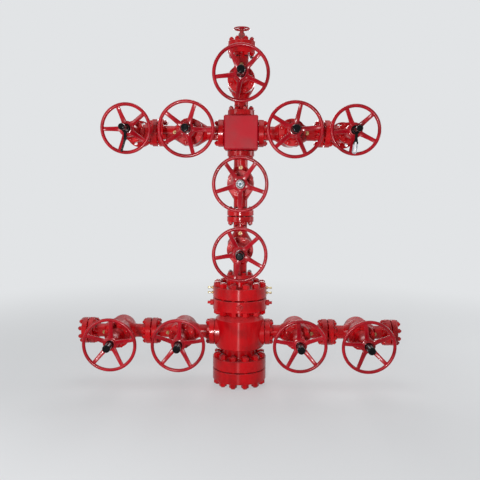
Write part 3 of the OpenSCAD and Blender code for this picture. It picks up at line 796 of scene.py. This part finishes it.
# a round rim in one plane and the spokes that carry it, made about +Z
def wheelTree():
    tree, node, join, given = newTree("handwheel", (
        ("Rim radius", "Float"), ("Rim thickness", "Float"), ("Rim plane", "Float"),
        ("Spokes", "Int"), ("First spoke", "Float"), ("Spoke start", "Float"),
        ("Spoke foot plane", "Float"), ("Dish", "Float"), ("Spoke width", "Float"),
        ("Spoke depth", "Float"), ("Root share", "Float"), ("Tip share", "Float"),
        ("Finish", "Material")))

    def maths(operation, first, second=0.0):
        made = node("ShaderNodeMath")
        made.operation = operation
        for i, value in enumerate((first, second)):
            if isinstance(value, (int, float)):
                made.inputs[i].default_value = value
            else:
                join(value, made.inputs[i])
        return made.outputs[0]

    def vector(x=None, z=None):
        made = node("ShaderNodeCombineXYZ")
        for name, value in (("X", x), ("Z", z)):
            if value is not None:
                join(value, made.inputs[name])
        return made.outputs[0]

    # rim
    rimLine = node("GeometryNodeCurvePrimitiveCircle")
    rimLine.inputs["Resolution"].default_value = wheelForm["rimSteps"]
    join(given["Rim radius"], rimLine.inputs["Radius"])
    rimSection = node("GeometryNodeCurvePrimitiveCircle")
    rimSection.inputs["Resolution"].default_value = wheelForm["rimSides"]
    join(maths("MULTIPLY", given["Rim thickness"], 0.5), rimSection.inputs["Radius"])
    rim = node("GeometryNodeCurveToMesh")
    join(rimLine.outputs[0], rim.inputs["Curve"])
    join(rimSection.outputs[0], rim.inputs["Profile Curve"])
    rimUp = node("GeometryNodeTransform")
    join(rim.outputs[0], rimUp.inputs["Geometry"])
    join(vector(z=given["Rim plane"]), rimUp.inputs["Translation"])

    # one spoke: a line that rises in an S from the hub's plate to the rim
    line = node("GeometryNodeCurvePrimitiveLine")
    join(vector(x=given["Spoke start"], z=given["Spoke foot plane"]), line.inputs["Start"])
    join(vector(x=given["Rim radius"], z=given["Spoke foot plane"]), line.inputs["End"])
    fine = node("GeometryNodeResampleCurve")
    fine.inputs["Count"].default_value = wheelForm["spokeSteps"]
    join(line.outputs[0], fine.inputs["Curve"])
    along = node("GeometryNodeSplineParameter").outputs["Factor"]
    swing = maths("COSINE", maths("MULTIPLY", along, pi))
    rise = maths("MULTIPLY", maths("SUBTRACT", 1.0, swing), 0.5)
    bent = node("GeometryNodeSetPosition")
    join(fine.outputs[0], bent.inputs["Geometry"])
    join(vector(z=maths("MULTIPLY", rise, given["Dish"])), bent.inputs["Offset"])
    level = node("GeometryNodeSetCurveNormal")
    level.mode = "Z_UP"
    join(bent.outputs[0], level.inputs["Curve"])
    section = node("GeometryNodeCurvePrimitiveQuadrilateral")
    join(given["Spoke width"], section.inputs["Width"])
    join(given["Spoke depth"], section.inputs["Height"])
    flat = node("GeometryNodeFilletCurve")
    flat.mode = "POLY"
    flat.inputs["Count"].default_value = wheelForm["cornerSteps"]
    join(section.outputs[0], flat.inputs["Curve"])
    corner = maths("MULTIPLY", given["Spoke depth"], wheelForm["cornerShare"])
    join(corner, flat.inputs["Radius"])
    fade = maths("POWER", maths("SUBTRACT", 1.0, along), wheelForm["narrowing"])
    spare = maths("SUBTRACT", given["Root share"], given["Tip share"])
    size = maths("ADD", given["Tip share"], maths("MULTIPLY", fade, spare))
    spoke = node("GeometryNodeCurveToMesh")
    spoke.inputs["Fill Caps"].default_value = True
    join(level.outputs[0], spoke.inputs["Curve"])
    join(flat.outputs[0], spoke.inputs["Profile Curve"])
    join(size, spoke.inputs["Scale"])

    # set round the stem, and joined with the rim and the hub
    points = node("GeometryNodePoints")
    join(given["Spokes"], points.inputs["Count"])
    step = maths("DIVIDE", 2 * pi, given["Spokes"])
    count = node("GeometryNodeInputIndex").outputs[0]
    angle = maths("ADD", maths("MULTIPLY", count, step), given["First spoke"])
    spokes = node("GeometryNodeInstanceOnPoints")
    join(points.outputs[0], spokes.inputs["Points"])
    join(spoke.outputs[0], spokes.inputs["Instance"])
    join(vector(z=angle), spokes.inputs["Rotation"])
    everything = node("GeometryNodeJoinGeometry")
    for part in (given["Geometry"], rimUp.outputs[0], spokes.outputs[0]):
        join(part, everything.inputs[0])
    real = node("GeometryNodeRealizeInstances")
    join(everything.outputs[0], real.inputs[0])
    finish = node("GeometryNodeSetMaterial")
    join(real.outputs[0], finish.inputs["Geometry"])
    join(given["Finish"], finish.inputs["Material"])
    join(finish.outputs[0], node("NodeGroupOutput").inputs[0])
    return tree


handwheel = wheelTree()


# grows a wheel from its hub, sets it in its place, and lets it stand for the plain one
def wheelPiece(name, sizes, hub, firstSpoke, place):
    piece = grown(hub, handwheel, {
        "Rim radius": (sizes["diameter"] - sizes["rim"]) / 2 * mm,
        "Rim thickness": sizes["rim"] * mm,
        "Rim plane": sizes["plane"] * mm,
        "Spokes": sizes["spokes"],
        "First spoke": radians(firstSpoke),
        "Spoke start": (sizes["hub"] / 2 - sizes["spokeSunk"]) * mm,
        "Spoke foot plane": (sizes["plane"] - sizes["dish"]) * mm,
        "Dish": sizes["dish"] * mm,
        "Spoke width": sizes["spokeWidth"] * mm,
        "Spoke depth": sizes["spokeDepth"] * mm,
        "Root share": sizes["rootShare"],
        "Tip share": sizes["tipShare"],
        "Finish": finishes["wheelPaint"]}, name + "_handwheel")
    piece.data.transform(place)
    smoothByAngle(piece.data, wheelForm["smooth"])
    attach(piece, name + "_wheel")
    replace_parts(piece, name + "_wheel")


# dished handwheels, made about +Z with the stem's end up, then turned to the front
valveWheel = {
    "diameter": 450.0, "rim": 28.0, "plane": 500.0, "dish": 40.0,
    "spokes": 5, "spokeWidth": 35.0, "spokeDepth": 15.0, "rootShare": 1.3, "tipShare": 0.92,
    "spokeSunk": 6.0,
    "hub": 88.0, "hubLength": 52.0, "bore": 50.1, "plate": 122.0, "hubSides": 64,
    "bevel": 3.0, "bevelBend": 0.8,
    "plateHalf": 7.0, "plateEdge": 4.0, "plateBevel": 3.0,
    "filletFrom": 15.0, "filletOut": 9.0, "filletUp": 7.0, "filletSteps": 4,
}
chokeWheel = dict(valveWheel, diameter=400.0)
firstSpokes = {
    "lower_master": 260, "upper_master": 270, "swab": 261, "left_wing": 70, "right_wing": 78,
    "left_inner_casing": 85, "left_outer_casing": 85, "right_inner_casing": 95,
    "right_outer_casing": 100, "left_choke": 110, "right_choke": 115,
}


# the hub's outline, its plate flowing into the collar above and below
def hubMesh(sizes):
    middle = sizes["plane"] - sizes["dish"]
    half = sizes["hubLength"] / 2
    hub, plate, bore = (sizes[key] / 2 for key in ("hub", "plate", "bore"))
    bevel, bend = sizes["bevel"], sizes["bevelBend"]
    upper = [(plate, sizes["plateEdge"]), (plate - sizes["plateBevel"], sizes["plateHalf"])]
    for i in range(sizes["filletSteps"] + 1):
        angle = pi / 2 * (1 - i / sizes["filletSteps"])
        upper.append((hub + sizes["filletOut"] * (1 - cos(angle)),
                      sizes["filletFrom"] - sizes["filletUp"] * sin(angle)))
    upper += [(hub, half - bevel), (hub - bend, half - bend), (hub - bevel, half), (bore, half)]
    outline = [(r, middle - z) for r, z in reversed(upper)]
    outline += [(r, middle + z) for r, z in upper]
    shape = bmesh.new()
    addTurned(shape, [(r * mm, z * mm) for r, z in outline], sizes["hubSides"])
    return finishShape(shape, "hub")


toFront = Matrix.Rotation(pi / 2, 4, "X")
for names, sizes in ((valveNames, valveWheel), (chokeNames, chokeWheel)):
    for name in names:
        place = Matrix.Translation(Vector(places[name][0]) * mm) @ toFront
        wheelPiece(name, sizes, hubMesh(sizes), firstSpokes[name], place)

# the needle valve's flat wheel
needleWheel = {
    "diameter": 140.0, "rim": 13.0, "plane": 8.0, "dish": 0.0,
    "spokes": 5, "spokeWidth": 10.0, "spokeDepth": 8.5, "rootShare": 1.25, "tipShare": 0.95,
    "spokeSunk": 3.0, "firstSpoke": 90,
    "hub": 30.0, "hubLength": 16.0, "bore": 14.1, "hubSides": 32, "bevel": 2.0,
    "foot": 3032.0,
}


def needleHub(sizes):
    hub = sizes["hub"] / 2
    bore = sizes["bore"] / 2
    top = sizes["hubLength"]
    bevel = sizes["bevel"]
    outline = [(bore, 0), (hub - bevel, 0), (hub, bevel), (hub, top - bevel), (hub - bevel, top),
               (bore, top)]
    shape = bmesh.new()
    addTurned(shape, [(r * mm, z * mm) for r, z in outline], sizes["hubSides"])
    return finishShape(shape, "needleHub")


wheelPiece("needle", needleWheel, needleHub(needleWheel), needleWheel["firstSpoke"],
           Matrix.Translation(Vector((0, 0, needleWheel["foot"] * mm))))
print("handwheels made:", len(firstSpokes) + 1)

# floor, light and background
studio = {
    "floorZ": -0.0462,
    "floor": rgb(224, 226, 228),
    "pale": rgb(226, 228, 230),
    "paleStrength": 1.0,
    "nearShare": 0.5,
    "fade": (1.6, 6.0),  # metres from the stack between which the floor passes into the background
    "reach": 60.0,
    "sky": (0.80, 0.82, 0.85, 1.0),
    "skyStrength": 0.07,
    "lamps": [
        # name, place, aim, width and height, power
        ("front", (-0.5, -6.3, 1.3), (0, 0, 1.2), (0.22, 1.4), 270),
        ("left", (-3.6, -3.4, 2.0), (0, 0, 1.0), (2.0, 2.0), 80),
        ("right", (4.6, 0.6, 2.2), (0, 0, 1.2), (2.0, 2.0), 70),
        ("back", (0.0, 5.2, 3.4), (0, 0, 1.2), (2.4, 2.4), 100),
        ("top", (0, 0.2, 5.2), (0, 0, 1.2), (3.0, 3.0), 60),
    ],
}


# 1 for what the camera sees, straight or in metal and glass
def seenPlainly(recipe):
    straight, mirrored, through = (
        recipe.node("ShaderNodeLightPath", out=ray)
        for ray in ("Is Camera Ray", "Is Glossy Ray", "Is Transmission Ray"))
    seen = straight.math("MAXIMUM", straight, mirrored)
    return seen.math("MAXIMUM", seen, through)


# a flat floor that passes into the pale background on all sides
def makeFloor():
    reach = studio["reach"]
    corners = ((-reach, -reach), (reach, -reach), (reach, reach), (-reach, reach))
    mesh = bpy.data.meshes.new("floor")
    mesh.from_pydata([(x, y, studio["floorZ"]) for x, y in corners], [], [(0, 1, 2, 3)])
    floor = link(mesh, "floor")
    recipe = Recipe("paleFloor")
    place = recipe.objectPlace()
    across = recipe.axis(place, "X")
    along = recipe.axis(place, "Y")
    distance = (across * across + along * along) ** 0.5
    away = recipe.steps(distance, *studio["fade"], studio["nearShare"], 1.0)
    lit = recipe.node("ShaderNodeBsdfDiffuse", None, {"Color": studio["floor"]})
    pale = recipe.node(
        "ShaderNodeEmission", None, {"Color": studio["pale"], "Strength": studio["paleStrength"]})
    surface = recipe.node(
        "ShaderNodeMixShader", None, {0: seenPlainly(recipe) * away, 1: lit, 2: pale})
    recipe.node("ShaderNodeOutputMaterial", None, {"Surface": surface})
    floor.data.materials.append(recipe.owner)


def makeSky():
    recipe = Recipe("studio", "worlds")
    sky, pale = (
        recipe.node("ShaderNodeBackground", None, {"Color": colour, "Strength": strength})
        for colour, strength in ((studio["sky"], studio["skyStrength"]),
                                 (studio["pale"], studio["paleStrength"])))
    surface = recipe.node("ShaderNodeMixShader", None, {0: seenPlainly(recipe), 1: sky, 2: pale})
    recipe.node("ShaderNodeOutputWorld", None, {"Surface": surface})
    bpy.context.scene.world = recipe.owner


def makeLamps():
    for name, place, aim, size, power in studio["lamps"]:
        data = bpy.data.lights.new(name, "AREA")
        data.shape = "RECTANGLE"
        data.size, data.size_y = size
        data.energy = power
        lamp = bpy.data.objects.new(name, data)
        lamp.location = place
        lamp.rotation_euler = (Vector(aim) - Vector(place)).to_track_quat("-Z", "Y").to_euler()
        bpy.context.scene.collection.objects.link(lamp)


makeFloor()
makeSky()
makeLamps()
bpy.context.scene.view_settings.view_transform = "Standard"
print("studio set")
